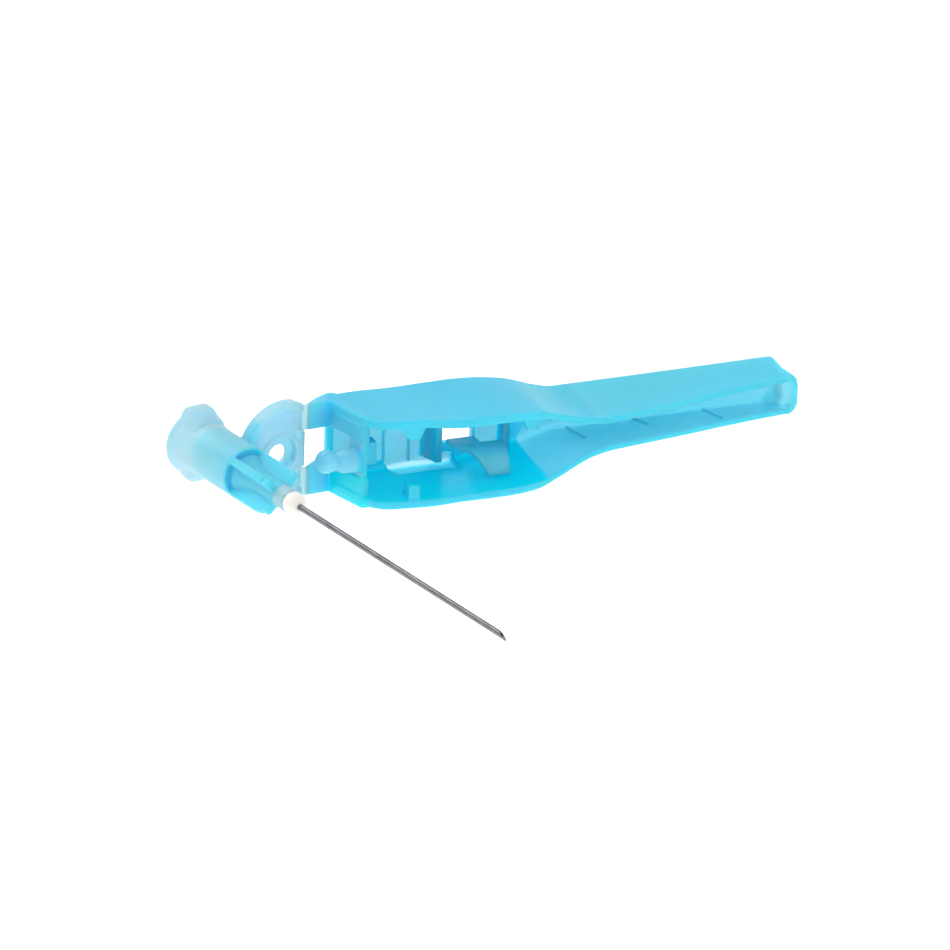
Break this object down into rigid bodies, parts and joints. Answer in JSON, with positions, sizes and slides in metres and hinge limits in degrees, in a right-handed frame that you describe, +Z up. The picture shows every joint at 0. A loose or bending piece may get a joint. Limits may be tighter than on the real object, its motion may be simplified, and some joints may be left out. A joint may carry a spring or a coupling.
{
  "type": "safety hypodermic needle",
  "caption": "Hypodermic needle on a finned Luer-lock hub, with a hinged, open-sided safety sheath that swings forward over the cannula and latches onto the hub.",
  "frame": {"origin": "centre of the object's footprint, on the surface that it lies on, with the sheath square to one side", "axes": "+X along the sheath from its hinge to its tip, -Y towards the sheath's open side and roughly along the cannula, +Z up along the hinge line"},
  "size_m": [0.0657, 0.0569, 0.0106],
  "materials": {
    "hub_plastic": "translucent pale blue polypropylene, frosted towards the Luer rim",
    "sheath_plastic": "translucent light blue polypropylene, satin as moulded",
    "steel": "drawn stainless tube, fine lengthwise grain",
    "epoxy": "smooth opaque warm white resin"
  },
  "bodies": {
    "hub": {"luer_hub": "hub_plastic", "latch_plate": "hub_plastic", "epoxy_bead": "epoxy", "cannula": "steel", "hinge_strap_upper": "sheath_plastic", "hinge_strap_lower": "sheath_plastic"},
    "sheath": {"sheath_shell": "sheath_plastic", "latch_peg": "sheath_plastic", "stop_rib": "sheath_plastic", "rear_rib": "sheath_plastic", "cross_rib_1": "sheath_plastic", "cross_rib_2": "sheath_plastic", "cross_rib_3": "sheath_plastic", "lock_tooth_upper": "sheath_plastic", "lock_tooth_lower": "sheath_plastic", "keeper_tooth_upper": "sheath_plastic"},
    "cannula_rest": {"cannula_rest": "sheath_plastic"}
  },
  "joints": [
    {"name": "sheath_hinge", "type": "hinge", "parent": "hub", "child": "sheath", "pos_m": [-0.0199, 0.02242, 0.0053], "axis": [0, 0, 1], "range_deg": [-88, 75], "deforming": ["hinge_strap_upper", "hinge_strap_lower"]},
    {"name": "rest_flex", "type": "hinge", "parent": "sheath", "child": "cannula_rest", "pos_m": [-0.005, 0.02242, 0.0047], "axis": [0, 1, 0], "range_deg": [-6, 1], "stiffness_Nm_per_rad": 0.002}
  ]
}
